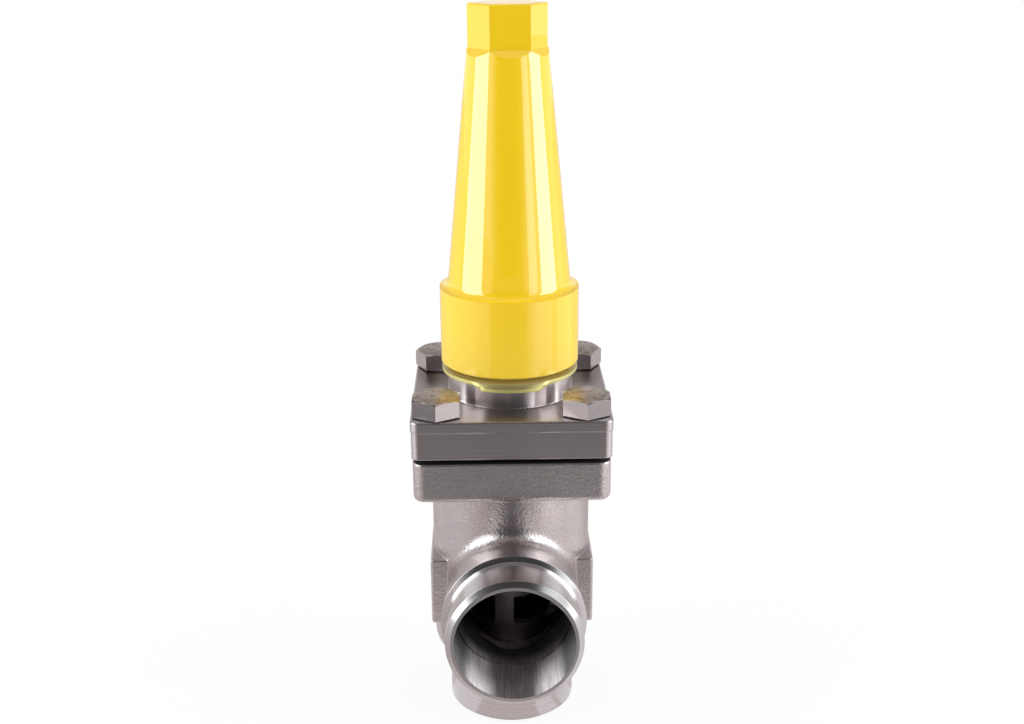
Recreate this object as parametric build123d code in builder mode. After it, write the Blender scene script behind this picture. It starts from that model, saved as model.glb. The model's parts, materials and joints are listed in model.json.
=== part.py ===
from build123d import *
from math import asin, cos, radians, sin, sqrt, tan
import os

# Hand expansion valve, angle pattern, with butt-weld ends and a tall seal cap.
# Millimetres. The origin is the centre of the inlet weld face, +Z runs up the
# spindle, and the outlet branch points to -Y.

# Pipe ends
pipe_od = 60.3
pipe_wall = 3.9
bevel_angle = 37.5
bevel_land = 1.6
inlet_length = 19.5
outlet_length = 18.9
outlet_bore_depth = 26.3
branch_reach = 83.3
cast_bore_step = 0.65
cast_bore_taper = 3.0
cast_bore_fall = 7.0
cast_bore_end = 20.0

# Cast body
hub_step = 2.25
hub_chamfer = 1.2
branch_taper = 2.4
branch_fall = 12.4
shoulder_step = 4.9
shoulder_drop = 12.5
shoulder_rise = 6.0
shoulder_radius = 9.0
barrel_wall = 4.0
branch_fillet = 6.0
lug_width = 44.0
lug_height = 32.6
lug_drop = 23.1
lug_stand = 1.0
lug_edge = 1.2
flange_thickness = 18.7
flange_corner = 5.5
flange_fillet = 3.0
flange_root_land = 0.6
flange_edge = 2.5
flange_top_edge = 0.5

# Seat
seat_height = 42.0
seat_step = 1.95
seat_bore_length = 12.0
seat_ridge_width = 3.0
seat_ridge_height = 2.0
branch_sill = 5.75

# Travel, measured from the closed valve
rest_lift = 29.5
spare_lift = 2.5
stop_gap = 0.05

# Throttling skirt
skirt_clearance = 0.3
skirt_wall = 4.2
skirt_band = 16.0
skirt_web = 4.0
port_margin = 2.1
port_count = 4
port_rib = 8.9
port_height = 14.5
port_corner = 2.5
port_turn = -9.1
notch_width = 16.0
notch_height = 4.4
skirt_stud_radius = 11.9
skirt_stud_length = 8.0

# Cone disc and seat seal
seal_thickness = 3.0
seal_overlap = 1.1
disc_lip = 1.1
disc_thickness = 7.5
disc_slope = 4.0
hub_height = 27.5
hub_wall = 5.4
hub_floor = 3.2
friction_thickness = 2.0
friction_width = 4.5

# Ball joint between the spindle and the cone
ball_radius = 1.6
ball_play = 0.15
ball_count = 14
race_depth = 9.0
snap_ring_height = 4.2
snap_ring_thickness = 1.4
snap_ring_gap = 3.0

# Spindle
stem_radius = 8.0
thread_step = 2.0
collar_step = 3.0
collar_height = 11.5
collar_chamfer = 1.0
closed_engagement = 12.0
thread_runout = 1.0
square_size = 11.0
square_length = 18.0
square_chamfer = 1.0
thread_chamfer = 1.5
tail_gap = 0.4
running_clearance = 0.1
thread_clearance = 0.05

# Bonnet
ledge_width = 3.2
register_wall = 3.5
register_depth = 7.8
register_clearance = 0.3
gasket_thickness = 1.6
flange_gap = 2.3
bonnet_thickness = 17.7
bonnet_overhang = 0.6
bonnet_corner = 4.0
bonnet_rim = 5.0
bonnet_rim_step = 0.3
bonnet_edge = 0.5
flange_edge_distance = 10.9
nose_length = 17.5
nose_wall = 4.5
nose_chamfer = 1.0
nut_length = 20.0
nut_relief = 0.6
back_seat_overlap = 1.8
back_seat_thickness = 2.0

# Stuffing box and packing gland
stuffing_width = 9.0
stuffing_depth = 24.9
washer_thickness = 1.5
packing_thickness = 5.0
spring_height = 1.9
spring_sheet = 1.0
spring_clearance = 0.6
gland_clearance = 0.1
gland_head_height = 10.0
gland_head_af = 36.0
gland_face_inset = 1.0
gland_chamfer_angle = 30.0
stem_ring_radius = 1.2
stem_ring_spacing = 5.0
stem_ring_depth = 4.0
gland_ring_radius = 1.1
gland_ring_depth = 14.0
groove_play = 0.1
scraper_height = 3.0
scraper_width = 2.9

# Neck, marking ring and seal cap
spigot_wall = 7.0
neck_shoulder = 5.15
neck_chamfer = 1.3
neck_root = 0.8
cap_thread_length = 14.8
spigot_chamfer = 1.0
cap_thread_clearance = 0.3
ring_sheet = 0.8
ring_inset = 0.45
ring_dish_width = 3.0
ring_dish_angle = 32.0
ring_tab_reach = 1.1
ring_tab_angle = 60.0
ring_tab_width = 25.8
ring_tab_root_width = 46.0
cap_gasket_thickness = 0.8
cap_gasket_width = 3.9
cap_overhang = 2.5
cap_skirt_height = 35.0
cap_ledge = 4.05
cap_flare_height = 4.2
cap_cone_height = 101.4
cap_cone_wall = 4.0
cap_core_wall = 4.8
cap_core_step = 3.0
cap_core_top_radius = 11.0
cap_crown = 10.0
hex_af = 30.0
hex_height = 18.8
hex_cover = 0.45
hex_turn = 3.4
hex_edge = 1.2
cap_edge = 0.6
runout_length = 6.0
runout_angle = 45.0

# Bolts
bolt_radius = 7.0
bolt_af = 21.0
bolt_head_height = 8.8
bolt_face_inset = 0.6
bolt_chamfer_angle = 30.0
bolt_tip_chamfer = 1.5
bolt_engagement = 15.0
bolt_hole_clearance = 0.5
tapped_clearance = 0.1
bolt_turns = (29.2, 29.5, 56.0, 1.5)

# Radii worked out from the sizes above
pipe_radius = pipe_od / 2
bore_radius = pipe_radius - pipe_wall
cast_bore_radius = bore_radius - cast_bore_step
hub_radius = pipe_radius + hub_step
barrel_radius = hub_radius + shoulder_step
chamber_radius = barrel_radius - barrel_wall
register_radius = chamber_radius + ledge_width
seat_bore_radius = bore_radius - seat_step
seat_ridge_radius = seat_bore_radius + seat_ridge_width
seal_radius = seat_ridge_radius + seal_overlap
disc_radius = seal_radius + disc_lip
skirt_radius = seat_bore_radius - skirt_clearance
skirt_inner_radius = skirt_radius - skirt_wall
branch_root_radius = hub_radius - branch_taper
cast_bore_end_radius = cast_bore_radius - cast_bore_taper
flange_root_radius = barrel_radius + flange_fillet + flange_root_land
hub_outer_radius = stem_radius + hub_wall
snap_groove_radius = hub_outer_radius - snap_ring_thickness
race_radius = stem_radius + running_clearance / 2
race_groove_radius = ball_radius + ball_play
spindle_thread_radius = stem_radius + thread_step
collar_radius = spindle_thread_radius + collar_step
back_seat_radius = collar_radius + back_seat_overlap
nose_radius = back_seat_radius + nose_wall
nut_radius = spindle_thread_radius + thread_clearance
relief_radius = spindle_thread_radius + nut_relief
stuffing_radius = stem_radius + stuffing_width
gland_radius = stuffing_radius - gland_clearance
stem_bore_radius = stem_radius + running_clearance
spigot_radius = stuffing_radius + spigot_wall
neck_radius = spigot_radius + neck_shoulder
cap_radius = neck_radius + cap_overhang
ring_radius = cap_radius - ring_inset
cap_thread_radius = spigot_radius + cap_thread_clearance
ring_flat_radius = ring_radius - ring_dish_width
ring_tab_y = -sqrt((ring_radius + ring_tab_reach) ** 2 - (ring_tab_width / 2) ** 2)
ring_tab_root_y = -sqrt(ring_radius**2 - (ring_tab_root_width / 2) ** 2)
ring_tab_radius = ring_radius + ring_tab_reach
ring_dish_slope = tan(radians(ring_dish_angle))
ring_tab_slope = tan(radians(ring_tab_angle))
ring_flat_inset = ring_sheet * tan(radians(ring_dish_angle / 2))
ring_bend_reach = ring_sheet / cos(radians((ring_tab_angle - ring_dish_angle) / 2))
ring_bend_inset = ring_bend_reach * sin(radians((ring_tab_angle + ring_dish_angle) / 2))
cap_cone_base = cap_radius - cap_ledge
hex_corner_radius = hex_af / 2 / cos(radians(30))
cap_cone_top = hex_corner_radius + hex_cover
cap_core_radius = cap_radius - cap_core_wall
bolt_corner_radius = bolt_af / 2 / cos(radians(30))
bolt_corner_reach = bolt_corner_radius - bolt_af / 2 + bolt_face_inset
bolt_corner_drop = bolt_corner_reach * tan(radians(bolt_chamfer_angle))
gland_corner_radius = gland_head_af / 2 / cos(radians(30))
gland_corner_reach = gland_corner_radius - gland_head_af / 2 + gland_face_inset
gland_corner_drop = gland_corner_reach * tan(radians(gland_chamfer_angle))
stem_groove_depth = 2 * stem_ring_radius + groove_play
stem_groove_half = stem_ring_radius + groove_play
gland_groove_depth = 2 * gland_ring_radius + groove_play
gland_groove_half = gland_ring_radius + groove_play
scraper_radius = stem_bore_radius + scraper_width
spring_inner_radius = stem_radius + spring_clearance
spring_outer_radius = stuffing_radius - spring_clearance

# Weld bevel
bevel_depth = pipe_wall - bevel_land
bevel_height = bevel_depth * tan(radians(bevel_angle))

# Bolt square and flanges
bolt_reach = register_radius + register_wall + bolt_radius
bolt_spacing = bolt_reach * sqrt(2)
flange_width = bolt_spacing + 2 * flange_edge_distance
bonnet_width = flange_width + 2 * bonnet_overhang

# Heights, from the inlet face upwards
shoulder_bottom = seat_height - shoulder_drop
shoulder_top = shoulder_bottom + shoulder_rise
seat_bore_bottom = seat_height - seat_bore_length
chamber_floor = seat_height - seat_ridge_height
branch_height = seat_height + branch_sill + bore_radius
branch_root_height = branch_height - branch_fall
cast_bore_end_height = branch_height - cast_bore_fall
lug_bottom = branch_height - lug_drop
seal_face = seat_height + stop_gap + rest_lift
disc_bottom = seal_face + seal_thickness
disc_top = disc_bottom + disc_thickness
hub_top = disc_bottom + hub_height
race_height = hub_top - race_depth
stud_top = seal_face + skirt_stud_length
tail_bottom = stud_top + hub_floor
collar_bottom = hub_top + friction_thickness
collar_top = collar_bottom + collar_height
nose_bottom = collar_top + spare_lift + stop_gap
spigot_bottom = nose_bottom + nose_length
ledge_height = spigot_bottom - gasket_thickness
body_top = ledge_height + register_depth
flange_bottom = body_top - flange_thickness
bonnet_bottom = body_top + flange_gap
bonnet_top = bonnet_bottom + bonnet_thickness
nut_bottom = nose_bottom + back_seat_thickness
thread_top = nut_bottom + closed_engagement + rest_lift
stuffing_bottom = thread_top + spare_lift + thread_runout
packing_bottom = stuffing_bottom + washer_thickness
spring_bottom = packing_bottom + packing_thickness
gland_bottom = spring_bottom + spring_height
spigot_top = stuffing_bottom + stuffing_depth
neck_top = spigot_top - cap_thread_length
gland_top = spigot_top + gland_head_height
spindle_top = gland_top + rest_lift + square_length
ring_top = neck_top + ring_sheet
ring_edge_height = ring_top - ring_dish_width * ring_dish_slope
ring_bend_depth = ring_bend_reach * cos(radians((ring_tab_angle + ring_dish_angle) / 2))
ring_bend_height = ring_edge_height - ring_bend_depth
ring_under_reach = ring_tab_reach + ring_bend_inset
cap_bottom = ring_top + cap_gasket_thickness
cap_ridge = cap_bottom + cap_skirt_height
cap_cone_bottom = cap_ridge + cap_flare_height
hex_bottom = cap_cone_bottom + cap_cone_height
cap_top = hex_bottom + hex_height
core_top = cap_top - cap_crown
cap_thread_end = cap_bottom + cap_thread_length
port_bottom = seal_face - port_margin - notch_height - port_height
skirt_bottom = port_bottom - skirt_band
stem_ring_heights = (
    spigot_top - stem_ring_depth,
    spigot_top - stem_ring_depth - stem_ring_spacing,
)
gland_ring_height = spigot_top - gland_ring_depth
bolt_length = bonnet_thickness + flange_gap + bolt_engagement

# Port sector, from the width of the rib left between two ports
port_half_angle = radians(180 / port_count) - asin(port_rib / 2 / skirt_radius)
port_far = 2 * skirt_radius
port_start = port_turn - 90 + 180 / port_count

outlet_axis = Axis((0, 0, branch_height), (0, 1, 0))
weld_end_length = outlet_length + hub_chamfer

# Half height of the band in which an edge or corner counts as lying at a height
select_band = 0.01

os.makedirs("parts", exist_ok=True)


# Cast body: barrel, outlet branch, side lugs, square flange, seat and chamber.
with BuildPart() as valve_body:
    # Inlet end, shoulder and barrel, turned about the spindle axis
    with BuildSketch(Plane.XZ):
        with BuildLine():
            Polyline(
                (0, 0),
                (pipe_radius - bevel_depth, 0),
                (pipe_radius, bevel_height),
                (pipe_radius, inlet_length),
                (hub_radius, inlet_length + hub_chamfer),
                (hub_radius, shoulder_bottom),
                (barrel_radius, shoulder_top),
                (barrel_radius, flange_bottom),
                (flange_root_radius, flange_bottom),
                (flange_root_radius, body_top),
                (0, body_top),
                close=True,
            )
        make_face()
        shoulder = vertices().filter_by_position(
            Axis.Y, shoulder_bottom - select_band, shoulder_top + select_band
        )
        fillet(shoulder, shoulder_radius)
        underside = vertices().filter_by_position(
            Axis.Y, flange_bottom - select_band, flange_bottom + select_band
        )
        fillet(underside.sort_by(Axis.X)[0], flange_fillet)
    revolve(axis=Axis.Z)

    # Outlet branch, with a cast fillet at the barrel. It falls and narrows inwards.
    with BuildSketch(Plane.XZ.offset(branch_reach - weld_end_length)):
        with Locations((0, branch_height)):
            Circle(hub_radius)
    with BuildSketch(Plane.XZ):
        with Locations((0, branch_root_height)):
            Circle(branch_root_radius)
    loft(ruled=True)
    fillet(edges(Select.NEW).filter_by(GeomType.BSPLINE), branch_fillet)

    # Weld end of the branch, turned about its own axis
    with BuildSketch(Plane.YZ):
        with BuildLine():
            Polyline(
                (weld_end_length - branch_reach, branch_height),
                (weld_end_length - branch_reach, branch_height + hub_radius),
                (outlet_length - branch_reach, branch_height + pipe_radius),
                (bevel_height - branch_reach, branch_height + pipe_radius),
                (-branch_reach, branch_height + pipe_radius - bevel_depth),
                (-branch_reach, branch_height),
                close=True,
            )
        make_face()
    revolve(axis=outlet_axis)

    # Flat lugs on both sides of the barrel
    with BuildSketch(Plane.XY.offset(lug_bottom)):
        Rectangle(2 * (barrel_radius + lug_stand), lug_width)
    extrude(amount=lug_height)
    lug_faces = faces().filter_by(Axis.X).sort_by(Axis.X)
    fillet(lug_faces[0].edges() + lug_faces[-1].edges(), lug_edge)

    # Square flange for the bonnet
    with BuildSketch(Plane.XY.offset(flange_bottom)):
        RectangleRounded(flange_width, flange_width, flange_corner)
    extrude(amount=flange_thickness)
    underside = edges().filter_by_position(
        Axis.Z, flange_bottom - select_band, flange_bottom + select_band
    )
    fillet(underside.sort_by(SortBy.LENGTH)[:8], flange_edge)
    chamfer(edges().group_by(Axis.Z)[-1], flange_top_edge)

    # Bore, seat, chamber and gasket register
    with BuildSketch(Plane.XZ):
        with BuildLine():
            Polyline(
                (0, 0),
                (bore_radius, 0),
                (bore_radius, seat_bore_bottom - seat_step),
                (seat_bore_radius, seat_bore_bottom),
                (seat_bore_radius, seat_height),
                (seat_ridge_radius, seat_height),
                (seat_ridge_radius, chamber_floor),
                (chamber_radius, chamber_floor),
                (chamber_radius, ledge_height),
                (register_radius, ledge_height),
                (register_radius, body_top),
                (0, body_top),
                close=True,
            )
        make_face()
    revolve(axis=Axis.Z, mode=Mode.SUBTRACT)

    # Outlet bore, machined at the weld end and as cast behind it
    with BuildSketch(Plane.XZ.offset(branch_reach - outlet_bore_depth)):
        with Locations((0, branch_height)):
            Circle(bore_radius)
    extrude(amount=outlet_bore_depth, mode=Mode.SUBTRACT)
    with BuildSketch(Plane.XZ.offset(branch_reach - outlet_bore_depth)):
        with Locations((0, branch_height)):
            Circle(cast_bore_radius)
    with BuildSketch(Plane.XZ.offset(cast_bore_end)):
        with Locations((0, cast_bore_end_height)):
            Circle(cast_bore_end_radius)
    loft(ruled=True, mode=Mode.SUBTRACT)

    # Tapped holes for the bonnet bolts
    with BuildSketch(Plane.XY.offset(body_top)):
        with GridLocations(bolt_spacing, bolt_spacing, 2, 2):
            Circle(bolt_radius + tapped_clearance)
    extrude(amount=-flange_thickness, mode=Mode.SUBTRACT)

valve_body.part.label = "valve_body"
export_step(valve_body.part, "parts/valve_body.step")


# Flat fibre gasket on the ledge of the body, under the bonnet spigot.
with BuildPart() as bonnet_gasket:
    with BuildSketch(Plane.XY.offset(ledge_height)):
        Circle(register_radius - register_clearance / 2)
        Circle(chamber_radius + register_clearance, mode=Mode.SUBTRACT)
    extrude(amount=gasket_thickness)

bonnet_gasket.part.label = "bonnet_gasket"
export_step(bonnet_gasket.part, "parts/bonnet_gasket.step")


# Bonnet: square flange, spigot and nose below, neck and cap thread above.
with BuildPart() as bonnet:
    with BuildSketch(Plane.XY.offset(bonnet_bottom)):
        RectangleRounded(
            bonnet_width - 2 * bonnet_rim_step,
            bonnet_width - 2 * bonnet_rim_step,
            bonnet_corner - bonnet_rim_step,
        )
    extrude(amount=bonnet_thickness - bonnet_rim)
    with BuildSketch(Plane.XY.offset(bonnet_top - bonnet_rim)):
        RectangleRounded(bonnet_width, bonnet_width, bonnet_corner)
    extrude(amount=bonnet_rim)
    chamfer(faces().sort_by(Axis.Z)[-1].edges(), bonnet_edge)

    # Nose, spigot, neck and thread spigot
    with BuildSketch(Plane.XZ):
        with BuildLine():
            Polyline(
                (0, nose_bottom),
                (nose_radius - nose_chamfer, nose_bottom),
                (nose_radius, nose_bottom + nose_chamfer),
                (nose_radius, spigot_bottom),
                (register_radius - register_clearance, spigot_bottom),
                (register_radius - register_clearance, bonnet_bottom),
                (neck_radius, bonnet_top),
                (neck_radius, neck_top - neck_chamfer),
                (neck_radius - neck_chamfer, neck_top),
                (spigot_radius, neck_top),
                (spigot_radius, spigot_top - spigot_chamfer),
                (spigot_radius - spigot_chamfer, spigot_top),
                (0, spigot_top),
                close=True,
            )
        make_face()
    revolve(axis=Axis.Z)
    top_circles = edges().filter_by(GeomType.CIRCLE).filter_by_position(
        Axis.Z, bonnet_top - select_band, bonnet_top + select_band
    )
    fillet(top_circles.sort_by(SortBy.LENGTH)[-1], neck_root)

    # Back seat recess, spindle nut, relief and stuffing box
    with BuildSketch(Plane.XZ):
        with BuildLine():
            Polyline(
                (0, nose_bottom),
                (back_seat_radius, nose_bottom),
                (back_seat_radius, nut_bottom),
                (nut_radius, nut_bottom),
                (nut_radius, nut_bottom + nut_length),
                (relief_radius, nut_bottom + nut_length),
                (relief_radius, stuffing_bottom),
                (stuffing_radius, stuffing_bottom),
                (stuffing_radius, spigot_top),
                (0, spigot_top),
                close=True,
            )
        make_face()
    revolve(axis=Axis.Z, mode=Mode.SUBTRACT)

    with BuildSketch(Plane.XY.offset(bonnet_top)):
        with GridLocations(bolt_spacing, bolt_spacing, 2, 2):
            Circle(bolt_radius + bolt_hole_clearance)
    extrude(amount=-bonnet_thickness, mode=Mode.SUBTRACT)

bonnet.part.label = "bonnet"
export_step(bonnet.part, "parts/bonnet.step")


# One hexagon bolt with its head on the XY plane, then the four in their holes.
with BuildPart() as bolt:
    with BuildSketch():
        RegularPolygon(bolt_af / 2, 6, major_radius=False)
    extrude(amount=bolt_head_height)
    with BuildSketch(Plane.XZ):
        with BuildLine():
            Polyline(
                (0, 0),
                (bolt_corner_radius, 0),
                (bolt_corner_radius, bolt_head_height - bolt_corner_drop),
                (bolt_af / 2 - bolt_face_inset, bolt_head_height),
                (0, bolt_head_height),
                close=True,
            )
        make_face()
    revolve(axis=Axis.Z, mode=Mode.INTERSECT)
    with BuildSketch():
        Circle(bolt_radius)
    extrude(amount=-bolt_length)
    chamfer(faces().sort_by(Axis.Z)[0].edges(), bolt_tip_chamfer)

half_spacing = bolt_spacing / 2
bolt_places = (
    (-half_spacing, -half_spacing),
    (half_spacing, -half_spacing),
    (-half_spacing, half_spacing),
    (half_spacing, half_spacing),
)

with BuildPart() as bonnet_bolts:
    for (x, y), turn in zip(bolt_places, bolt_turns):
        with Locations(Location((x, y, bonnet_top), (0, 0, turn))):
            add(bolt.part)

bonnet_bolts.part.label = "bonnet_bolts"
export_step(bonnet_bolts.part, "parts/bonnet_bolts.step")


# Back seat ring, pressed into the nose of the bonnet.
with BuildPart() as back_seat_ring:
    with BuildSketch(Plane.XY.offset(nose_bottom)):
        Circle(back_seat_radius - groove_play)
        Circle(relief_radius, mode=Mode.SUBTRACT)
    extrude(amount=back_seat_thickness)

back_seat_ring.part.label = "back_seat_ring"
export_step(back_seat_ring.part, "parts/back_seat_ring.step")


# Washer, packing ring and spring washer at the bottom of the stuffing box.
with BuildPart() as packing_washer:
    with BuildSketch(Plane.XY.offset(stuffing_bottom)):
        Circle(stuffing_radius - register_clearance)
        Circle(stem_radius + register_clearance, mode=Mode.SUBTRACT)
    extrude(amount=washer_thickness)

packing_washer.part.label = "packing_washer"
export_step(packing_washer.part, "parts/packing_washer.step")

with BuildPart() as packing_ring:
    with BuildSketch(Plane.XY.offset(packing_bottom)):
        Circle(stuffing_radius - register_clearance)
        Circle(stem_bore_radius, mode=Mode.SUBTRACT)
    extrude(amount=packing_thickness)

packing_ring.part.label = "packing_ring"
export_step(packing_ring.part, "parts/packing_ring.step")

with BuildPart() as spring_washer:
    with BuildSketch(Plane.XZ):
        with BuildLine():
            Polyline(
                (spring_inner_radius, spring_bottom + spring_height - spring_sheet),
                (spring_outer_radius, spring_bottom),
                (spring_outer_radius, spring_bottom + spring_sheet),
                (spring_inner_radius, spring_bottom + spring_height),
                close=True,
            )
        make_face()
    revolve(axis=Axis.Z)

spring_washer.part.label = "spring_washer"
export_step(spring_washer.part, "parts/spring_washer.step")


# Packing gland, screwed into the neck, with grooves for its O-rings.
with BuildPart() as packing_gland:
    with BuildSketch(Plane.XY.offset(gland_bottom)):
        Circle(gland_radius)
    extrude(amount=spigot_top - gland_bottom)
    with BuildSketch(Plane.XY.offset(spigot_top)):
        RegularPolygon(gland_head_af / 2, 6, major_radius=False)
    extrude(amount=gland_head_height)
    with BuildSketch(Plane.XZ):
        with BuildLine():
            Polyline(
                (0, gland_bottom),
                (gland_corner_radius, gland_bottom),
                (gland_corner_radius, gland_top - gland_corner_drop),
                (gland_head_af / 2 - gland_face_inset, gland_top),
                (0, gland_top),
                close=True,
            )
        make_face()
    revolve(axis=Axis.Z, mode=Mode.INTERSECT)
    with BuildSketch(Plane.XY.offset(gland_bottom)):
        Circle(stem_bore_radius)
    extrude(amount=gland_top - gland_bottom, mode=Mode.SUBTRACT)
    with BuildSketch(Plane.XY.offset(gland_top)):
        Circle(scraper_radius)
    extrude(amount=-scraper_height, mode=Mode.SUBTRACT)
    for height in stem_ring_heights:
        with BuildSketch(Plane.XZ):
            with Locations((stem_bore_radius, height)):
                Rectangle(2 * stem_groove_depth, 2 * stem_groove_half)
        revolve(axis=Axis.Z, mode=Mode.SUBTRACT)
    with BuildSketch(Plane.XZ):
        with Locations((gland_radius, gland_ring_height)):
            Rectangle(2 * gland_groove_depth, 2 * gland_groove_half)
    revolve(axis=Axis.Z, mode=Mode.SUBTRACT)

packing_gland.part.label = "packing_gland"
export_step(packing_gland.part, "parts/packing_gland.step")

with BuildPart() as spindle_o_rings:
    for height in stem_ring_heights:
        with Locations((0, 0, height)):
            Torus(stem_bore_radius + stem_ring_radius, stem_ring_radius)

spindle_o_rings.part.label = "spindle_o_rings"
export_step(spindle_o_rings.part, "parts/spindle_o_rings.step")

with BuildPart() as gland_o_ring:
    with Locations((0, 0, gland_ring_height)):
        Torus(gland_radius - gland_ring_radius, gland_ring_radius)

gland_o_ring.part.label = "gland_o_ring"
export_step(gland_o_ring.part, "parts/gland_o_ring.step")

with BuildPart() as scraper_ring:
    with BuildSketch(Plane.XY.offset(gland_top - scraper_height)):
        Circle(scraper_radius - groove_play)
        Circle(stem_bore_radius, mode=Mode.SUBTRACT)
    extrude(amount=scraper_height)

scraper_ring.part.label = "scraper_ring"
export_step(scraper_ring.part, "parts/scraper_ring.step")


# Marking ring: a pressed sheet on the neck, its rim turned down with a front tab.
with BuildPart() as marking_ring:
    with BuildSketch(Plane.XZ):
        with BuildLine():
            Polyline(
                (cap_thread_radius, neck_top),
                (ring_flat_radius - ring_flat_inset, neck_top),
                (ring_radius - ring_bend_inset, ring_bend_height),
                (ring_tab_radius, ring_bend_height - ring_under_reach * ring_tab_slope),
                (ring_tab_radius, ring_edge_height - ring_tab_reach * ring_tab_slope),
                (ring_radius, ring_edge_height),
                (ring_flat_radius, ring_top),
                (cap_thread_radius, ring_top),
                close=True,
            )
        make_face()
    revolve(axis=Axis.Z)

    # Plan outline: a circle, and the tab with its slanting sides
    with BuildSketch(Plane.XY.offset(neck_top)):
        Circle(ring_radius)
        with BuildLine():
            Polyline(
                (0, 0),
                (-ring_tab_root_width / 2, ring_tab_root_y),
                (-ring_tab_width / 2, ring_tab_y),
                (-ring_tab_width / 2, -2 * ring_radius),
                (ring_tab_width / 2, -2 * ring_radius),
                (ring_tab_width / 2, ring_tab_y),
                (ring_tab_root_width / 2, ring_tab_root_y),
                close=True,
            )
        make_face()
    extrude(amount=ring_radius, both=True, mode=Mode.INTERSECT)

marking_ring.part.label = "marking_ring"
export_step(marking_ring.part, "parts/marking_ring.step")


# Cone disc with the hub that holds the ball joint.
with BuildPart() as cone_disc:
    with BuildSketch(Plane.XZ):
        with BuildLine():
            Polyline(
                (0, disc_bottom),
                (disc_radius, disc_bottom),
                (disc_radius, disc_top - disc_slope),
                (hub_outer_radius, disc_top),
                (hub_outer_radius, race_height - snap_ring_height / 2),
                (snap_groove_radius, race_height - snap_ring_height / 2),
                (snap_groove_radius, race_height + snap_ring_height / 2),
                (hub_outer_radius, race_height + snap_ring_height / 2),
                (hub_outer_radius, hub_top),
                (stem_bore_radius, hub_top),
                (stem_bore_radius, tail_bottom),
                (0, tail_bottom),
                close=True,
            )
        make_face()
    revolve(axis=Axis.Z)
    with BuildSketch(Plane.XY.offset(disc_bottom)):
        Circle(skirt_stud_radius + groove_play)
    extrude(amount=stud_top - disc_bottom, mode=Mode.SUBTRACT)
    with BuildSketch(Plane.XZ):
        with Locations((0, race_height)):
            Circle(race_groove_radius + groove_play)
    extrude(amount=hub_outer_radius, mode=Mode.SUBTRACT)
    with Locations((0, 0, race_height)):
        Torus(race_radius, race_groove_radius, mode=Mode.SUBTRACT)

cone_disc.part.label = "cone_disc"
export_step(cone_disc.part, "parts/cone_disc.step")


# One port of the skirt: a sector with rounded lower corners and a V notch.
with BuildPart() as port:
    with BuildSketch(Plane.XY.offset(port_bottom)):
        with BuildLine():
            Polyline(
                (0, 0),
                (port_far * cos(port_half_angle), port_far * sin(port_half_angle)),
                (port_far * cos(port_half_angle), -port_far * sin(port_half_angle)),
                close=True,
            )
        make_face()
    extrude(amount=port_height)
    lower_edges = edges().group_by(Axis.Z)[0]
    fillet(lower_edges.sort_by(Axis.X)[0:2], port_corner)
    with BuildSketch(Plane.YZ):
        with BuildLine():
            Polyline(
                (-notch_width / 2, port_bottom + port_height),
                (notch_width / 2, port_bottom + port_height),
                (0, port_bottom + port_height + notch_height),
                close=True,
            )
        make_face()
    extrude(amount=port_far)

# Throttling skirt, screwed into the disc from below.
with BuildPart() as v_port_skirt:
    with BuildSketch(Plane.XZ):
        with BuildLine():
            Polyline(
                (skirt_inner_radius, skirt_bottom),
                (skirt_radius, skirt_bottom),
                (skirt_radius, seal_face),
                (skirt_stud_radius, seal_face),
                (skirt_stud_radius, stud_top),
                (0, stud_top),
                (0, seal_face - skirt_web),
                (skirt_inner_radius, seal_face - skirt_web),
                close=True,
            )
        make_face()
    revolve(axis=Axis.Z)
    with PolarLocations(0, port_count, start_angle=port_start):
        add(port.part, mode=Mode.SUBTRACT)

v_port_skirt.part.label = "v_port_skirt"
export_step(v_port_skirt.part, "parts/v_port_skirt.step")

# Seat seal, clamped between the skirt and the disc.
with BuildPart() as seat_seal_ring:
    with BuildSketch(Plane.XY.offset(seal_face)):
        Circle(seal_radius)
        Circle(skirt_stud_radius + groove_play, mode=Mode.SUBTRACT)
    extrude(amount=seal_thickness)

seat_seal_ring.part.label = "seat_seal_ring"
export_step(seat_seal_ring.part, "parts/seat_seal_ring.step")

# Balls that let the spindle turn in the cone, and the ring over their filling hole.
with BuildPart(Plane.XY.offset(race_height)) as thrust_balls:
    with PolarLocations(race_radius, ball_count):
        Sphere(ball_radius)

thrust_balls.part.label = "thrust_balls"
export_step(thrust_balls.part, "parts/thrust_balls.step")

with BuildPart() as ball_retaining_ring:
    with BuildSketch(Plane.XY.offset(race_height - snap_ring_height / 2 + groove_play)):
        Circle(hub_outer_radius)
        Circle(snap_groove_radius + groove_play, mode=Mode.SUBTRACT)
        with Locations((0, hub_outer_radius)):
            Rectangle(snap_ring_gap, hub_outer_radius, mode=Mode.SUBTRACT)
    extrude(amount=snap_ring_height - 2 * groove_play)

ball_retaining_ring.part.label = "ball_retaining_ring"
export_step(ball_retaining_ring.part, "parts/ball_retaining_ring.step")

# Friction ring between the hub and the spindle collar.
with BuildPart() as friction_ring:
    with BuildSketch(Plane.XY.offset(hub_top)):
        Circle(stem_bore_radius + friction_width)
        Circle(stem_bore_radius, mode=Mode.SUBTRACT)
    extrude(amount=friction_thickness)

friction_ring.part.label = "friction_ring"
export_step(friction_ring.part, "parts/friction_ring.step")


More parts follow.
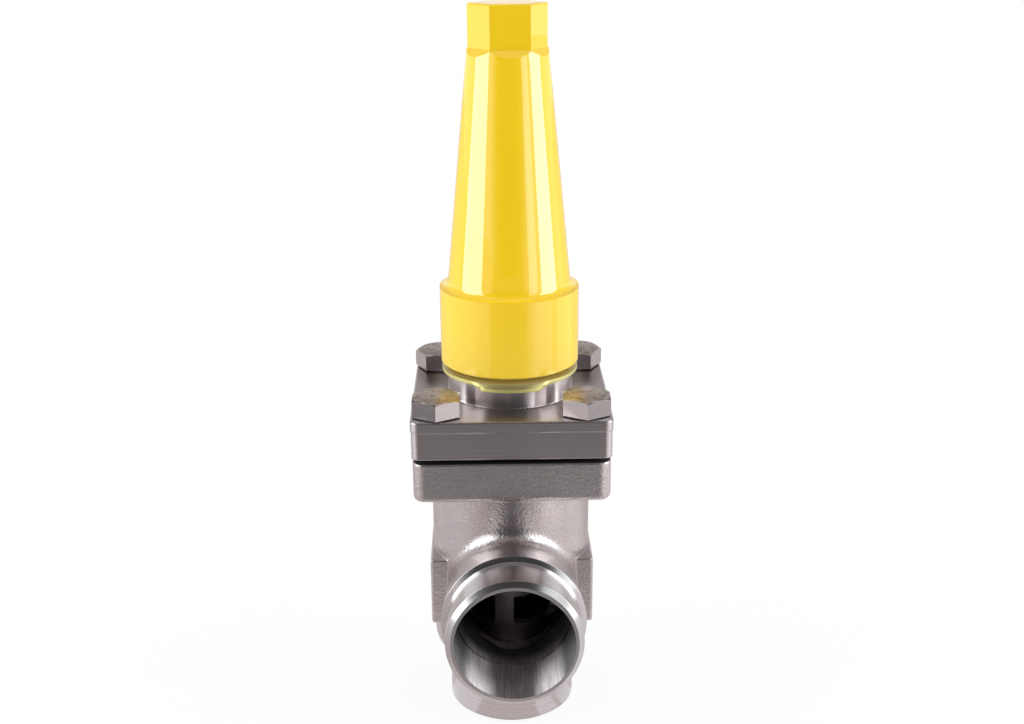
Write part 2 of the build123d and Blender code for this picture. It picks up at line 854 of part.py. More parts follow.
# Spindle: ball groove, back-seat collar, thread, stem and square.
with BuildPart() as spindle:
    with BuildSketch(Plane.XZ):
        with BuildLine():
            Polyline(
                (0, tail_bottom + tail_gap),
                (stem_radius, tail_bottom + tail_gap),
                (stem_radius, collar_bottom),
                (collar_radius, collar_bottom),
                (collar_radius, collar_top - collar_chamfer),
                (collar_radius - collar_chamfer, collar_top),
                (spindle_thread_radius, collar_top),
                (spindle_thread_radius, thread_top - thread_chamfer),
                (stem_radius, thread_top),
                (stem_radius, spindle_top),
                (0, spindle_top),
                close=True,
            )
        make_face()
    revolve(axis=Axis.Z)
    with Locations((0, 0, race_height)):
        Torus(race_radius, race_groove_radius, mode=Mode.SUBTRACT)
    with BuildSketch(Plane.XY.offset(spindle_top)):
        Circle(stem_radius)
        Rectangle(square_size, square_size, mode=Mode.SUBTRACT)
    extrude(amount=-square_length, mode=Mode.SUBTRACT)
    chamfer(faces().sort_by(Axis.Z)[-1].edges(), square_chamfer)

spindle.part.label = "spindle"
export_step(spindle.part, "parts/spindle.step")


# Flat nylon gasket under the cap.
with BuildPart() as cap_gasket:
    with BuildSketch(Plane.XY.offset(ring_top)):
        Circle(cap_thread_radius + cap_gasket_width)
        Circle(cap_thread_radius, mode=Mode.SUBTRACT)
    extrude(amount=cap_gasket_thickness)

cap_gasket.part.label = "cap_gasket"
export_step(cap_gasket.part, "parts/cap_gasket.step")


# What the sloped end of the wrench flats takes off the top of the round cone.
with BuildPart() as flat_runout:
    with BuildSketch(Plane.XY.offset(hex_bottom)):
        Circle(cap_cone_base)
    extrude(amount=-runout_length)
    with BuildSketch(Plane.XY.offset(hex_bottom)):
        RegularPolygon(hex_af / 2, 6, major_radius=False, rotation=hex_turn)
    extrude(amount=-runout_length, taper=-runout_angle, mode=Mode.SUBTRACT)

# Seal cap: threaded skirt, flare, tall cone and wrench hexagon, hollow inside.
with BuildPart() as seal_cap:
    with BuildSketch(Plane.XZ):
        with BuildLine():
            Polyline(
                (0, cap_bottom),
                (cap_radius - cap_edge, cap_bottom),
                (cap_radius, cap_bottom + cap_edge),
                (cap_radius, cap_ridge),
            )
            TangentArc(
                (cap_cone_base, cap_cone_bottom),
                (cap_radius, cap_ridge),
                tangent=(0, -1),
            )
            Polyline(
                (cap_cone_base, cap_cone_bottom),
                (cap_cone_top, hex_bottom),
                (0, hex_bottom),
                (0, cap_bottom),
            )
        make_face()
    revolve(axis=Axis.Z)
    add(flat_runout.part, mode=Mode.SUBTRACT)
    with BuildSketch(Plane.XY.offset(hex_bottom)):
        RegularPolygon(hex_af / 2, 6, major_radius=False, rotation=hex_turn)
    extrude(amount=hex_height)
    fillet(faces().sort_by(Axis.Z)[-1].edges(), hex_edge)

    # Threaded bore and the cored inside that clears the risen spindle
    with BuildSketch(Plane.XZ):
        with BuildLine():
            Polyline(
                (0, cap_bottom),
                (cap_thread_radius, cap_bottom),
                (cap_thread_radius, cap_thread_end),
                (cap_core_radius, cap_thread_end + cap_core_step),
                (cap_core_radius, cap_ridge - cap_core_step),
                (cap_cone_base - cap_cone_wall, cap_cone_bottom),
                (cap_core_top_radius, core_top),
                (0, core_top),
                close=True,
            )
        make_face()
    revolve(axis=Axis.Z, mode=Mode.SUBTRACT)

seal_cap.part.label = "seal_cap"
export_step(seal_cap.part, "parts/seal_cap.step")
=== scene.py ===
import json
import math
import bmesh
import bpy
from mathutils import Matrix, Vector


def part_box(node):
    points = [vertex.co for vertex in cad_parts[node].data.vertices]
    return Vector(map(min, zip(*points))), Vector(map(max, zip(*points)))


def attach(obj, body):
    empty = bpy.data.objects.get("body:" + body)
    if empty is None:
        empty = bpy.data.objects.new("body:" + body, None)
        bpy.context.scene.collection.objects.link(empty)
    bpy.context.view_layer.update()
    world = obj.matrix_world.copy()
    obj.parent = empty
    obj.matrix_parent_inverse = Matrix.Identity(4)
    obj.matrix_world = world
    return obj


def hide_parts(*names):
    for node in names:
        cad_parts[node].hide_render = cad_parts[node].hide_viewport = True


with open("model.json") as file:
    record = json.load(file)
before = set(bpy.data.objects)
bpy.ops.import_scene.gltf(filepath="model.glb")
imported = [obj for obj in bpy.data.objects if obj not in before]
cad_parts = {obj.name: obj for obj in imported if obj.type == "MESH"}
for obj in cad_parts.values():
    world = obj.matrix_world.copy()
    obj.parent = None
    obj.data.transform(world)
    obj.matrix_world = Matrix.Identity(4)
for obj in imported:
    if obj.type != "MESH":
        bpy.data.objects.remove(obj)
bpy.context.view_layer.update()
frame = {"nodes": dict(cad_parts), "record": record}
nodes = frame["nodes"]
bpy.ops.object.select_all(action="DESELECT")

# Sizes in metres, read from the frame where a mount or a box gives them
MM = 0.001
ledge_play = 0.15 * MM
head_height = 8.8 * MM
sheet_thickness = 0.8 * MM
gasket_width = 4.2 * MM
plate_gap = 2.3 * MM
thread_pitch = 2 * MM
thread_depth = 1.15 * MM
mounts = {mount["name"]: mount for mount in frame["record"]["mounts"]}
branch_height = mounts["outlet_bore"]["pos_m"][2]
outlet_face = mounts["outlet_bore"]["pos_m"][1]
machined_depth = mounts["outlet_bore"]["dims"]["length_mm"] * MM
bore_radius = mounts["outlet_bore"]["dims"]["r_mm"] * MM
pipe_radius = mounts["outlet_pipe_end"]["dims"]["r_mm"] * MM
body_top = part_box("valve_body")[1].z
gasket_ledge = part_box("bonnet_gasket")[0].z
register_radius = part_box("bonnet_gasket")[1].x + ledge_play
bonnet_bottom = body_top + plate_gap
bonnet_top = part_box("bonnet_bolts")[1].z - head_height
bolt_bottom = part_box("bonnet_bolts")[0].z
bolt_spacing = 33.235 * MM
neck_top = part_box("marking_ring")[1].z - sheet_thickness
ring_flat_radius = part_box("cap_gasket")[1].x
spigot_radius = ring_flat_radius - gasket_width
spigot_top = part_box("bonnet")[1].z
cap_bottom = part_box("seal_cap")[0].z
spindle_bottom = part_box("friction_ring")[1].z + 11.5 * MM
spindle_radius = 10 * MM


class Value:
    """A number that changes over a surface. A sum of values adds the Math nodes that work it out."""

    def __init__(self, finish, socket):
        self.finish = finish
        self.socket = socket

    def maths(self, operation, first, second=0.0):
        return self.finish.node("ShaderNodeMath", {"operation": operation}, {0: first, 1: second})

    def __add__(self, other):
        return self.maths("ADD", self, other)

    def __radd__(self, other):
        return self.maths("ADD", other, self)

    def __sub__(self, other):
        return self.maths("SUBTRACT", self, other)

    def __rsub__(self, other):
        return self.maths("SUBTRACT", other, self)

    def __mul__(self, other):
        return self.maths("MULTIPLY", self, other)

    def __rmul__(self, other):
        return self.maths("MULTIPLY", other, self)

    def __pow__(self, other):
        return self.maths("POWER", self, other)

    def __gt__(self, other):
        return self.maths("GREATER_THAN", self, other)

    def __lt__(self, other):
        return self.maths("LESS_THAN", self, other)

    def __or__(self, other):
        return self.maths("MAXIMUM", self, other)

    def __and__(self, other):
        return self.maths("MINIMUM", self, other)

    def __abs__(self):
        return self.maths("ABSOLUTE", self)


class Finish:
    """One material. Its nodes come from the node method, apart from the shader and the output."""

    def __init__(self, name, constants):
        self.material = bpy.data.materials.new(name)
        self.material.use_nodes = True
        self.tree = self.material.node_tree
        self.shader = self.tree.nodes["Principled BSDF"]
        for socket, value in constants.items():
            self.shader.inputs[socket].default_value = value

    def feed(self, socket, value):
        if isinstance(value, Value):
            self.tree.links.new(value.socket, socket)
        else:
            socket.default_value = value

    def node(self, kind, settings, inputs, output=0):
        made = self.tree.nodes.new(kind)
        for name, value in settings.items():
            setattr(made, name, value)
        for socket, value in inputs.items():
            self.feed(made.inputs[socket], value)
        return Value(self, made.outputs[output])

    def place(self):
        """The point on the piece, and its three coordinates."""
        point = self.node("ShaderNodeTexCoord", {}, {}, "Object")
        return point, *(self.node("ShaderNodeSeparateXYZ", {}, {0: point}, axis) for axis in "XYZ")

    def upward(self, normal):
        """How far a face looks up: one on a level top, and nought on an upright side."""
        faced = self.node("ShaderNodeNewGeometry", {}, {}, normal)
        return self.node("ShaderNodeSeparateXYZ", {}, {0: faced}, "Z")

    def rays(self):
        """Three values that are one for a camera ray, for a reflection and for a ray through glass."""
        kinds = ("Is Camera Ray", "Is Glossy Ray", "Is Transmission Ray")
        return [self.node("ShaderNodeLightPath", {}, {}, kind) for kind in kinds]

    def noise(self, point, scale, detail=2.0, roughness=0.5):
        inputs = {"Vector": point, "Scale": scale, "Detail": detail, "Roughness": roughness}
        return self.node("ShaderNodeTexNoise", {}, inputs)

    def lines(self, along, per_metre, detail=2.0):
        """Uneven tool lines, square to one coordinate."""
        inputs = {"W": along, "Scale": per_metre, "Detail": detail, "Roughness": 0.7}
        return self.node("ShaderNodeTexNoise", {"noise_dimensions": "1D"}, inputs)

    def rise(self, value, low, high):
        """Nought below low, one above high and smooth between them."""
        settings = {"interpolation_type": "SMOOTHSTEP"}
        return self.node("ShaderNodeMapRange", settings, {"Value": value, "From Min": low, "From Max": high})

    def distance(self, first, second):
        return (first * first + second * second) ** 0.5

    def blend(self, share, first, second):
        """A mix of two colours."""
        return self.node("ShaderNodeMix", {"data_type": "RGBA"}, {0: share, 6: first, 7: second}, 2)

    def blend_shaders(self, share, first, second):
        return self.node("ShaderNodeMixShader", {}, {0: share, 1: first, 2: second})

    def blend_normals(self, share, first, second):
        return self.node("ShaderNodeMix", {"data_type": "VECTOR"}, {0: share, 4: first, 5: second}, 1)

    def relief(self, height, depth, under=None):
        """A bump of that depth in metres, over the normal of another one."""
        inputs = {"Height": height, "Distance": depth, "Strength": 1.0}
        if under is not None:
            inputs["Normal"] = under
        return self.node("ShaderNodeBump", {}, inputs)

    def soft_edges(self, radius):
        """The normal of the piece, as if its edges were rounded."""
        return self.node("ShaderNodeBevel", {"samples": 6}, {"Radius": radius})

    def set(self, socket, value):
        self.feed(self.shader.inputs[socket], value)

    def show(self, surface):
        """Put another surface in the place of the shader's own."""
        self.feed(self.tree.nodes["Material Output"].inputs["Surface"], surface)


def grey(level, warmth=0.0):
    """A colour near grey. Warmth adds red and takes off blue."""
    return (level * (1 + warmth), level, level * (1 - warmth), 1.0)


def stainless(level):
    """The faintly rosy grey of blasted and turned stainless steel."""
    return (level * 1.075, level * 0.96, level * 0.965, 1.0)


def cast_steel():
    """Shot-blasted casting, with weld ends, bores and gasket seat turned bright, and the joint face painted
    near black as shade in the gap under the bonnet.
    """
    finish = Finish("cast_steel", {"Metallic": 1.0})
    point, x, y, z = finish.place()
    from_spindle = finish.distance(x, y)
    from_branch = finish.distance(x, z - branch_height)

    # Where a tool has been. Beyond the step, the outlet bore is a little wider
    hub_length = 20.4 * MM
    hub_reach = pipe_radius + 3 * MM
    seat_bottom = 43 * MM
    inlet_reach = 27.6 * MM
    chamber_side = -36 * MM
    inlet_end = (z < hub_length) & (from_spindle < hub_reach)
    outlet_end = (y < outlet_face + hub_length) & (from_branch < hub_reach)
    inlet_bore = (z < seat_bottom) & (from_spindle < inlet_reach)
    step = outlet_face + machined_depth
    deep = y > step
    outlet_bore = (y < chamber_side) & (from_branch < bore_radius + 0.15 * MM + deep * MM)
    register = (z > gasket_ledge - 0.2 * MM) & (from_spindle < register_radius + 0.3 * MM)
    turned = inlet_end | outlet_end | inlet_bore | register
    painted_shade_joint_face = z > body_top - 0.1 * MM

    # Tool lines run round the spindle, or round the branch at the outlet
    along = z + from_spindle + outlet_end * (y + from_branch - z - from_spindle)
    grooves = finish.lines(along, 1100.0, 3.0)

    grain = finish.noise(point, 1500.0, 3.0, 0.6)
    pits = finish.noise(point, 800.0, 2.0)
    swell = finish.noise(point, 75.0, 2.0)
    stain = finish.noise(point, 38.0, 3.0, 0.6)

    cast_colour = finish.blend(finish.rise(stain, 0.35, 0.7), stainless(0.55), stainless(0.66))
    cast_colour = finish.blend(finish.rise(grain, 0.35, 0.65) * 0.75, cast_colour, stainless(0.42))
    turned_colour = finish.blend(
        finish.rise(grooves, 0.35, 0.65), (0.53, 0.495, 0.5, 1.0), (0.6, 0.565, 0.57, 1.0))
    colour = finish.blend(turned, cast_colour, turned_colour)
    # Painted shade: the joint face is painted near black, for the shade in the narrow gap under the bonnet
    finish.set("Base Color", finish.blend(painted_shade_joint_face, colour, stainless(0.09)))
    machined = 0.16 + 0.07 * grooves
    blasted = 0.23 + 0.12 * grain
    finish.set("Roughness", blasted + turned * (machined - blasted) + 0.4 * painted_shade_joint_face)

    casting = finish.relief(swell + pits + grain * 0.3, 0.22 * MM, finish.soft_edges(1.3 * MM))
    tooling = finish.relief(grooves, 0.003 * MM, finish.soft_edges(0.35 * MM))
    finish.set("Normal", finish.blend_normals(turned, casting, tooling))

    # The outlet is bored, and its tool lines draw each lamp out into a fan along the bore.
    # It is painted darker beyond the step, partly as the duller cast bore and partly as painted shade, and
    # at the sides as painted shade
    along_bore = {0: point, 1: (1.0, 0.07, 1.0)}
    stretched = finish.node("ShaderNodeVectorMath", {"operation": "MULTIPLY"}, along_bore)
    streaks = finish.noise(stretched, 900.0, 3.0, 0.6)
    deep_cast_and_painted_shade = deep * (0.3 + 0.7 * finish.rise(y, step, step + 12 * MM))
    beside = finish.rise(abs(x), 19 * MM, 23 * MM) * 0.85
    bright = finish.blend(finish.rise(streaks, 0.3, 0.7), (0.64, 0.58, 0.6, 1.0), (0.95, 0.86, 0.89, 1.0))
    # Painted shade: deep in the bore and at its sides the colour goes near black
    bright = finish.blend(deep_cast_and_painted_shade, bright, grey(0.14, 0.03))
    bright = finish.blend(beside, bright, grey(0.12, 0.03))
    ripple = finish.relief(streaks, 0.003 * MM)

    def bored(rotation):
        """The bored steel, with the highlights drawn out in a direction given in turns."""
        return finish.node("ShaderNodeBsdfPrincipled", {}, {
            "Base Color": bright, "Metallic": 1.0, "Roughness": 0.62, "Anisotropic": 0.95,
            "Anisotropic Rotation": rotation, "Normal": ripple})

    bore = finish.blend_shaders(finish.rise(0.0 - x, 7 * MM, 14 * MM), bored(0.25), bored(0.35))
    bore = finish.blend_shaders(finish.rise(x, 7 * MM, 14 * MM), bore, bored(0.15))
    body = Value(finish, finish.shader.outputs[0])
    finish.show(finish.blend_shaders(outlet_bore, body, bore))
    return finish


def milled_steel():
    """The bonnet: edges milled level, top and neck turned, dull and painted near black as shade where it
    faces the gasket.
    """
    finish = Finish("milled_steel", {"Metallic": 1.0, "Anisotropic": 0.75, "Anisotropic Rotation": 0.25})
    point, x, y, z = finish.place()
    from_spindle = finish.distance(x, y)
    level = finish.rise(abs(finish.upward("Normal")), 0.6, 0.8)
    along = z + level * (from_spindle - z)
    fine = finish.lines(along, 1900.0, 3.0)
    broad = finish.lines(along, 420.0, 2.0)
    cloud = finish.noise(point, 45.0, 3.0, 0.6)
    neck_reach = 29.9 * MM
    root_reach = 31 * MM
    neck = (from_spindle < neck_reach) & (z > bonnet_top + 0.1 * MM)
    painted_shade_underside = z < bonnet_bottom + 0.05 * MM

    plate = finish.blend(cloud, stainless(0.4), stainless(0.52))
    plate = finish.blend(finish.rise(fine, 0.4, 0.7) * (0.45 + 0.2 * level), plate, stainless(0.68))

    # Painted light: the level top is painted lighter on both sides of the neck, where the cap and bolt heads
    # shade it
    outer = finish.rise(abs(x), 32 * MM, 38 * MM)
    painted_light_flank = level * finish.rise(abs(x), 24 * MM, 30 * MM) * (1.0 - outer)
    plate = finish.blend(painted_light_flank * finish.rise(y, -15 * MM, 5 * MM), plate, stainless(0.98))

    turned = finish.blend(fine, stainless(0.52), stainless(0.62))
    colour = finish.blend(neck, plate, turned)
    # Painted shade: the underside is painted near black, for the shade in the gap above the body
    finish.set("Base Color", finish.blend(painted_shade_underside, colour, stainless(0.09)))
    finish.set("Roughness", 0.25 + 0.07 * fine + 0.08 * cloud - neck * 0.09 + painted_shade_underside * 0.5)
    milling = fine + broad * 0.6

    # Edges are eased, apart from the root of the neck, which stays sharp
    root = (abs(z - bonnet_top) < 0.8 * MM) & (from_spindle < root_reach)
    eased = finish.relief(milling, 0.005 * MM, finish.soft_edges(0.8 * MM))
    sharp = finish.relief(milling, 0.005 * MM)
    finish.set("Normal", finish.blend_normals(root, eased, sharp))
    return finish


def forged_steel():
    """Stainless bolts: dark forged heads, painted lighter as painted light on the front bolts' inner faces
    and on the back bolts, with a browned and ringed top.
    """
    finish = Finish("forged_steel", {"Metallic": 1.0})
    point, x, y, z = finish.place()
    from_bolt = finish.distance(abs(x) - bolt_spacing, abs(y) - bolt_spacing)
    rings = finish.lines(from_bolt, 900.0, 2.0)
    sides = finish.lines(z, 1500.0, 2.0)
    grain = finish.noise(point, 1300.0, 3.0, 0.6)
    scale = finish.noise(point, 240.0, 3.0, 0.6)
    top = z > bonnet_top + 8.3 * MM
    shank = z < bonnet_top - 0.1 * MM
    speckle = finish.noise(point, 650.0, 3.0, 0.7)
    streaked = grain * 0.5 + sides * 0.5

    def band(inside, outside, ease):
        """One between two distances from the bolt's middle, and nought elsewhere."""
        outer = finish.rise(0.0 - from_bolt, 0.0 - outside, ease - outside)
        return finish.rise(from_bolt, inside, inside + ease) * outer

    dish = band(6.6 * MM, 8.2 * MM, 0.6 * MM)
    circle = band(8.0 * MM, 8.8 * MM, 0.25 * MM)
    brown = finish.rise(scale * 0.5 + speckle * 0.5, 0.42, 0.6) * top
    # Painted light: the inner faces of the front bolts, part of the right bolt's outer face and the back
    # bolts are painted lighter, as if lit
    painted_light_front = (y < 0.0) * ((abs(x) < bolt_spacing) + 0.35 * (x > bolt_spacing))
    worn = top | painted_light_front | 0.85 * (y > 0.0)
    steel = finish.blend(streaked, stainless(0.13), stainless(0.26))
    steel = finish.blend(worn, steel, finish.blend(streaked, stainless(0.4), stainless(0.66)))
    steel = finish.blend(brown * 0.75 | circle * top * 0.7, steel, (0.3, 0.2, 0.12, 1.0))
    finish.set("Base Color", finish.blend(shank, steel, stainless(0.16)))
    finish.set("Roughness", 0.24 + 0.12 * grain + 0.14 * top)
    relief = grain * 0.7 + scale + top * (speckle * 3.0 + rings + dish * 3.0) + (1.0 - top) * sides * 0.5
    finish.set("Normal", finish.relief(relief, 0.02 * MM, finish.soft_edges(0.2 * MM)))
    return finish


def gold_sheet():
    """The marking ring: thin sheet with a pale gold finish, painted brighter along its cut edge as a painted
    highlight.
    """
    finish = Finish("gold_sheet", {"Metallic": 0.72})
    point, x, y, z = finish.place()
    from_spindle = finish.distance(x, y)
    cut = (abs(finish.upward("True Normal")) < 0.2) & (from_spindle > ring_flat_radius)
    cloud = finish.noise(point, 70.0, 3.0, 0.6)
    face = finish.blend(cloud, (0.46, 0.38, 0.15, 1.0), (0.6, 0.51, 0.22, 1.0))
    # Painted highlight: the cut edge is painted a brighter gold
    finish.set("Base Color", finish.blend(cut, face, (0.7, 0.63, 0.24, 1.0)))
    finish.set("Roughness", 0.28 + 0.12 * cut)
    drawn = finish.lines(from_spindle + z, 1400.0)
    finish.set("Normal", finish.relief(drawn, 0.002 * MM, finish.soft_edges(0.2 * MM)))
    return finish


def yellow_paint():
    """Thick glossy paint with a light orange peel, bare metal where the thread is cut."""
    finish = Finish("yellow_paint", {"Coat Roughness": 0.025, "Coat IOR": 2.0, "Specular IOR Level": 0.0})
    point, x, y, z = finish.place()
    from_spindle = finish.distance(x, y)
    peel = finish.noise(point, 420.0, 2.0)
    wave = finish.noise(point, 60.0, 2.0)
    cloud = finish.noise(point, 30.0, 2.0)
    thread_end = cap_bottom + 15 * MM
    bare = (from_spindle < spigot_radius + 0.5 * MM) & (z < thread_end)
    paint = finish.blend(cloud, (0.79, 0.52, 0.009, 1.0), (0.82, 0.545, 0.012, 1.0))
    finish.set("Base Color", finish.blend(bare, paint, stainless(0.45)))
    finish.set("Metallic", bare)
    finish.set("Roughness", 0.6 - 0.3 * bare)
    finish.set("Coat Weight", 1.0 - bare)
    finish.set("Normal", finish.relief(peel * 0.1 + wave * 0.8, 0.05 * MM, finish.soft_edges(0.5 * MM)))
    return finish


def plain_steel(name, level, roughness, per_metre=1300.0):
    """A turned steel piece, with tool lines round the spindle."""
    finish = Finish(name, {"Metallic": 1.0, "Anisotropic": 0.7, "Anisotropic Rotation": 0.25})
    point, x, y, z = finish.place()
    grooves = finish.lines(z + finish.distance(x, y), per_metre, 3.0)
    cloud = finish.noise(point, 60.0, 3.0, 0.6)
    worn = finish.rise(grooves, 0.3, 0.7) * 0.6 + cloud * 0.4
    finish.set("Base Color", finish.blend(worn, stainless(level * 0.85), stainless(level * 1.08)))
    finish.set("Roughness", roughness + 0.08 * grooves + 0.08 * cloud)
    finish.set("Normal", finish.relief(grooves, 0.003 * MM, finish.soft_edges(0.2 * MM)))
    return finish


def pressed_sheet(name, dark, light, roughness, grains=900.0):
    """A gasket, packing or seal ring: fine grain and a slightly uneven colour."""
    finish = Finish(name, {})
    point = finish.place()[0]
    grain = finish.noise(point, grains, 3.0, 0.6)
    cloud = finish.noise(point, 90.0, 2.0)
    finish.set("Base Color", finish.blend(grain * 0.5 + cloud * 0.5, dark, light))
    finish.set("Roughness", roughness + 0.1 * grain)
    finish.set("Normal", finish.relief(grain, 0.02 * MM, finish.soft_edges(0.15 * MM)))
    return finish


finishes = {
    "cast_steel": cast_steel(),
    "bonnet_steel": milled_steel(),
    "bolt_steel": forged_steel(),
    "ring_aluminium": gold_sheet(),
    "yellow_paint": yellow_paint(),
    "gland_steel": plain_steel("gland_steel", 0.6, 0.22),
    "plain_steel": plain_steel("plain_steel", 0.56, 0.3),
    "cone_steel": plain_steel("cone_steel", 0.52, 0.3),
    "skirt_steel": plain_steel("skirt_steel", 0.66, 0.34),
    "ball_steel": plain_steel("ball_steel", 0.75, 0.08, 300.0),
    "spindle_steel": plain_steel("spindle_steel", 0.64, 0.18),
    "gasket_fibre": pressed_sheet("gasket_fibre", (0.1, 0.13, 0.11, 1.0), (0.2, 0.24, 0.2, 1.0), 0.75),
    "black_rubber": pressed_sheet("black_rubber", grey(0.02), grey(0.035), 0.45, 400.0),
    "white_ptfe": pressed_sheet("white_ptfe", grey(0.74, 0.02), grey(0.86, 0.01), 0.4),
    "packing_graphite": pressed_sheet("packing_graphite", grey(0.05), grey(0.11), 0.5),
    "cap_nylon": pressed_sheet("cap_nylon", (0.6, 0.56, 0.46, 1.0), (0.76, 0.72, 0.62, 1.0), 0.45),
}
slots = {part["node"]: part["material_slot"] for part in frame["record"]["subparts"]}
bodies = frame["record"]["behaviour"]["bodies"]
bodies_of = {node: body for body, members in bodies.items() for node in members}
for node, piece in nodes.items():
    piece.data.materials.clear()
    piece.data.materials.append(finishes[slots[node]].material)


def cut_thread(shape, radius, bottom, top, pitch, depth, centre=(0.0, 0.0)):
    """Turn a smooth cylinder of the shape into a screw thread. A depth below nought cuts outwards."""
    near = 0.03 * MM
    levels_per_turn = 8

    def reach(point):
        return math.hypot(point.x - centre[0], point.y - centre[1])

    def on_cylinder(face):
        return all(abs(reach(vertex.co) - radius) < near for vertex in face.verts)

    def height(face):
        return face.calc_center_median().z

    def is_above(item, level):
        return isinstance(item, bmesh.types.BMFace) and height(item) > level

    # Cut the cylinder into level bands, then draw each of their corners in by the groove's depth there
    above = [face for face in shape.faces if on_cylinder(face) and bottom < height(face) < top]
    steps = round((top - bottom) / (pitch / levels_per_turn))
    for step in range(1, steps):
        level = bottom + (top - bottom) * step / steps
        edges = {edge for face in above for edge in face.edges}
        corners = {vertex for face in above for vertex in face.verts}
        cut = bmesh.ops.bisect_plane(
            shape, geom=[*above, *edges, *corners], dist=1e-7, plane_co=(0, 0, level), plane_no=(0, 0, 1))
        above = [item for item in cut["geom"] if is_above(item, level)]
    for vertex in shape.verts:
        spot = vertex.co
        if abs(reach(spot) - radius) > near or not bottom < spot.z < top:
            continue
        turn = math.atan2(spot.y - centre[1], spot.x - centre[0]) / math.tau
        phase = (spot.z / pitch - turn) % 1.0

        # Straight flanks between a flat crest and a flat root, fading out at both ends
        groove = min(1.0, max(0.0, 1.3 * (1 - abs(2 * phase - 1)) - 0.15))
        fade = min(1.0, (spot.z - bottom) / pitch, (top - spot.z) / pitch)
        shrink = 1 - groove * fade * depth / reach(spot)
        spot.x = centre[0] + (spot.x - centre[0]) * shrink
        spot.y = centre[1] + (spot.y - centre[1]) * shrink


def copied(node, name, shaping):
    """A merged copy of a CAD piece, shaped further, which stands in for it on the same body."""
    piece = bpy.data.objects.new(name, nodes[node].data.copy())
    bpy.context.scene.collection.objects.link(piece)
    bpy.ops.object.select_all(action="DESELECT")
    piece.select_set(True)
    bpy.context.view_layer.objects.active = piece
    bpy.ops.mesh.customdata_custom_splitnormals_clear()
    shape = bmesh.new()
    shape.from_mesh(piece.data)
    bmesh.ops.remove_doubles(shape, verts=shape.verts, dist=1e-6)
    shaping(shape)
    shape.to_mesh(piece.data)
    shape.free()
    bpy.ops.object.shade_smooth_by_angle(angle=math.radians(32))
    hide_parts(node)
    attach(piece, bodies_of[node])
    return piece


def shape_bonnet(shape):
    bottom = neck_top + 1.5 * MM
    top = spigot_top - 0.9 * MM
    cut_thread(shape, spigot_radius, bottom, top, thread_pitch, thread_depth)


def shape_cap(shape):
    radius = spigot_radius + 0.3 * MM
    top = cap_bottom + 14.8 * MM
    cut_thread(shape, radius, cap_bottom, top, thread_pitch, -thread_depth)


def shape_spindle(shape):
    top = spindle_bottom + 43.1 * MM
    cut_thread(shape, spindle_radius, spindle_bottom, top, 4 * MM, 2.0 * MM)


def shape_bolts(shape):
    """Threaded shanks, and heads that rise a little from the bonnet towards their corners."""
    shank_radius = 7 * MM
    flat_reach = 8 * MM
    corner_rise = 0.6 * MM
    bottom = bolt_bottom + 1.4 * MM
    top = bonnet_top - 4 * MM
    for across in (-bolt_spacing, bolt_spacing):
        for along in (-bolt_spacing, bolt_spacing):
            cut_thread(shape, shank_radius, bottom, top, thread_pitch, thread_depth, (across, along))
    for vertex in shape.verts:
        spot = vertex.co
        reach = math.hypot(abs(spot.x) - bolt_spacing, abs(spot.y) - bolt_spacing)
        if abs(spot.z - bonnet_top) < 0.05 * MM and reach > flat_reach:
            spot.z += corner_rise


copied("bonnet", "threaded_bonnet", shape_bonnet)
copied("seal_cap", "threaded_cap", shape_cap)
copied("spindle", "threaded_spindle", shape_spindle)
copied("bonnet_bolts", "threaded_bolts", shape_bolts)

# The pressed edge of the marking ring is rounded all along
pressed_ring = copied("marking_ring", "pressed_ring", lambda shape: None)
rounding = pressed_ring.modifiers.new("rounding", "BEVEL")
rounding.width = 0.22 * MM
rounding.segments = 3
rounding.angle_limit = math.radians(35)
bpy.ops.object.modifier_apply(modifier="rounding")


# The floor, the lamps and the camera
bpy.ops.mesh.primitive_plane_add(size=6.0)
floor = bpy.context.object
floor.name = "floor"


def studio_floor():
    """White to the eye, with a soft shadow left in it. Its brightness in reflections goes in bands."""
    finish = Finish("studio_floor", {"Roughness": 0.9})
    finish.set("Base Color", grey(0.8))
    x, y = finish.place()[1:3]
    camera_ray, glossy_ray, clear_ray = finish.rays()
    away = finish.distance(x, y)

    # Close to the valve the bands lie narrower and further to the front
    azimuth = x.maths("ARCTAN2", x, 0.0 - y) * (1.38 - 0.38 * finish.rise(away, 0.07, 0.12))

    def band(low, high):
        """One between two azimuths in degrees, from the front and to the right, and nought outside."""
        return finish.rise(azimuth, math.radians(low - 4), math.radians(low + 4)) * (
            1.0 - finish.rise(azimuth, math.radians(high - 4), math.radians(high + 4)))

    # What reflections see: bright floor beside the valve, plain between, and dull in front
    front = finish.rise(away, 0.06, 0.26) * band(-32, 28)
    beside = band(-130, -57) | band(39, 73) | band(81, 122)
    far = finish.rise(away, 0.08, 0.16)
    lit = finish.blend(far * (x < 0.0), (1.0, 0.97, 0.98, 1.0), (0.72, 0.69, 0.7, 1.0))
    plain = finish.blend(far, (0.76, 0.68, 0.675, 1.0), (0.62, 0.56, 0.555, 1.0))
    mirrored = finish.blend(beside, plain, lit)
    dull = finish.blend(finish.rise(away, 0.5, 0.75), grey(0.24), grey(0.09))
    mirrored = finish.blend(front, mirrored, dull)
    seen = finish.blend(glossy_ray, grey(1.0), mirrored)
    glow = finish.node("ShaderNodeEmission", {}, {"Color": seen, "Strength": 1.0})
    open_floor = away > pipe_radius
    to_camera = camera_ray * (0.9 + 0.1 * finish.rise(away, 0.2, 0.5))
    share = to_camera | glossy_ray * 0.9 * open_floor | clear_ray
    body = Value(finish, finish.shader.outputs[0])
    finish.show(finish.blend_shaders(share, body, glow))
    return finish


floor.data.materials.append(studio_floor().material)

world = bpy.data.worlds.new("studio")
bpy.context.scene.world = world
world.use_nodes = True


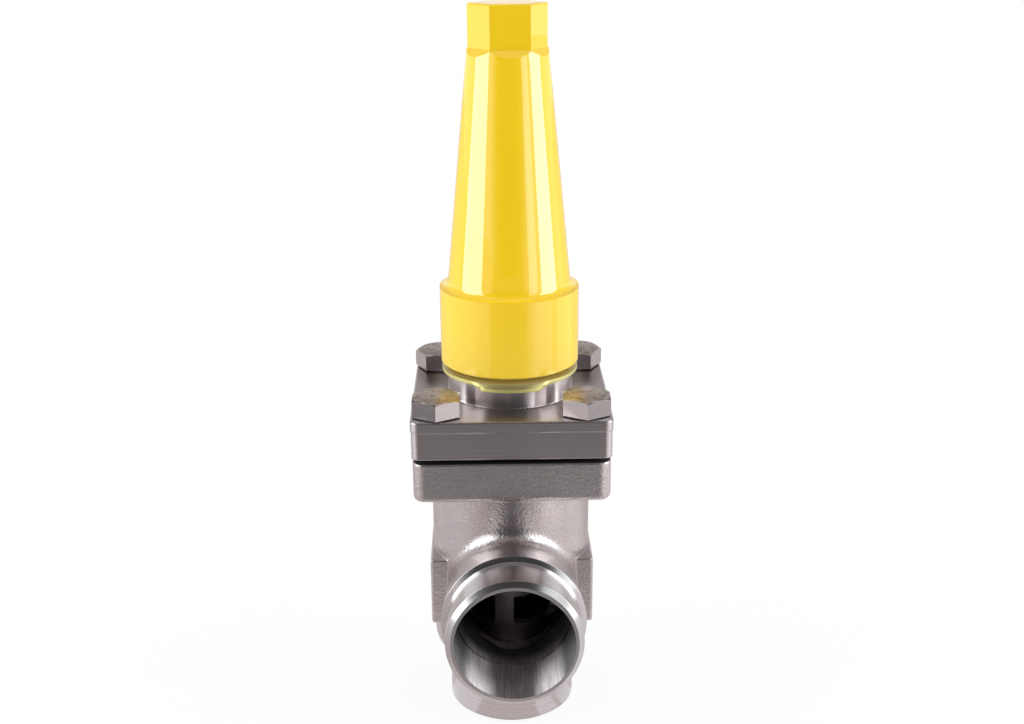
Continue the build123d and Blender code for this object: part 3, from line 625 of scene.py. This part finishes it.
class Sky(Finish):
    """The world's nodes, added by the same method as a material's."""

    def __init__(self):
        self.tree = world.node_tree
        self.shader = self.tree.nodes["Background"]


sky = Sky()
direction = sky.node("ShaderNodeTexCoord", {}, {}, "Generated")
across, inward, height = (sky.node("ShaderNodeSeparateXYZ", {}, {0: direction}, axis) for axis in "XYZ")
camera_ray, glossy_ray, clear_ray = sky.rays()

# Dull surfaces get soft light, most of it from the sides and from above
soft = sky.blend(sky.rise(abs(across), 0.35, 0.95), (0.43, 0.37, 0.42, 1.0), (1.15, 1.25, 1.03, 1.0))
soft = sky.blend(sky.rise(height, 0.35, 1.0), soft, (1.15, 1.07, 1.1, 1.0))
around = sky.blend(camera_ray | clear_ray, soft, grey(1.0))

# Reflections see a white horizon below a grey ceiling, with a dark field in front of the valve
mirrored = sky.blend(sky.rise(height, 0.12, 0.36), grey(0.95), grey(0.42))
around = sky.blend(glossy_ray, around, mirrored)
dark_field = sky.rise(0.41 * height - 0.91 * inward, 0.62, 0.86) * glossy_ray
sky.set("Color", sky.blend(dark_field, around, grey(0.05)))
sky.set("Strength", 1.0)


lamp_distance = 0.9
lamp_middle = 0.5
lamp_length = 0.9


def softbox(name, angle, width, power):
    """An upright lamp panel that faces the valve. The angle is from the front, to the right."""
    turn = math.radians(angle)
    lamp = bpy.data.lights.new(name, "AREA")
    lamp.shape = "RECTANGLE"
    lamp.size = width
    lamp.size_y = lamp_length
    lamp.energy = power
    lamp.color = (0.99, 1.09, 1.1)
    panel = bpy.data.objects.new(name, lamp)
    panel.location = (lamp_distance * math.sin(turn), -lamp_distance * math.cos(turn), lamp_middle)
    panel.rotation_euler = (math.radians(90), 0.0, turn)
    panel.visible_camera = False
    bpy.context.scene.collection.objects.link(panel)


softbox("left_softbox", angle=-75, width=0.74, power=6.3)
softbox("right_strip", angle=44, width=0.26, power=0.7)
softbox("right_softbox", angle=78, width=0.56, power=5.6)

sensor_width = 36.0
focal_length_pixels = 1341.33
picture_width_pixels = 1024
camera_data = bpy.data.cameras.new("camera")
camera_data.sensor_width = sensor_width
camera_data.lens = sensor_width * focal_length_pixels / picture_width_pixels
camera = bpy.data.objects.new("camera", camera_data)
bpy.context.scene.collection.objects.link(camera)
camera_place = Vector((-0.010026, -0.589297, 0.375043))
camera_yaw = 0.01879
camera_pitch = 0.32818
camera_roll = -0.00625
camera.matrix_world = (
    Matrix.Translation(camera_place)
    @ Matrix.Rotation(-camera_yaw, 4, "Z")
    @ Matrix.Rotation(math.pi / 2 - camera_pitch, 4, "X")
    @ Matrix.Rotation(camera_roll, 4, "Z")
)
bpy.context.scene.camera = camera
bpy.context.scene.view_settings.view_transform = "Standard"
